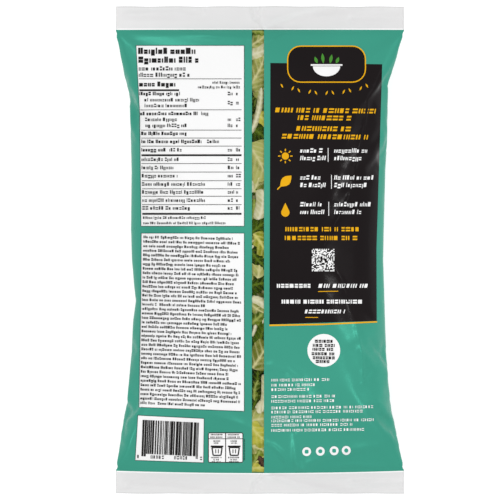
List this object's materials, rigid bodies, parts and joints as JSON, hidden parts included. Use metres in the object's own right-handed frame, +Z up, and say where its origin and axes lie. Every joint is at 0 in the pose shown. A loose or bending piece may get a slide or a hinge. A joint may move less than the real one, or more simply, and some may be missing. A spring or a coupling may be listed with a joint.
{
  "type": "bag of salad leaves",
  "caption": "Sealed pillow bag of chopped salad leaves in printed film with a narrow clear window, lying on its front with its back up.",
  "frame": {"origin": "on the surface that the bag lies on, under the middle of the bag", "axes": "+Z up, out of the bag's back; +Y along the bag towards its top seal; +X across the bag, to the right as its back is read"},
  "size_m": [0.2, 0.338, 0.0524],
  "materials": {
    "printed_film": "satin",
    "clear_film": "satin",
    "print_ink": "satin",
    "salad_leaves": "satin"
  },
  "bodies": {
    "root": {"salad_bag": "printed_film"}
  },
  "joints": []
}
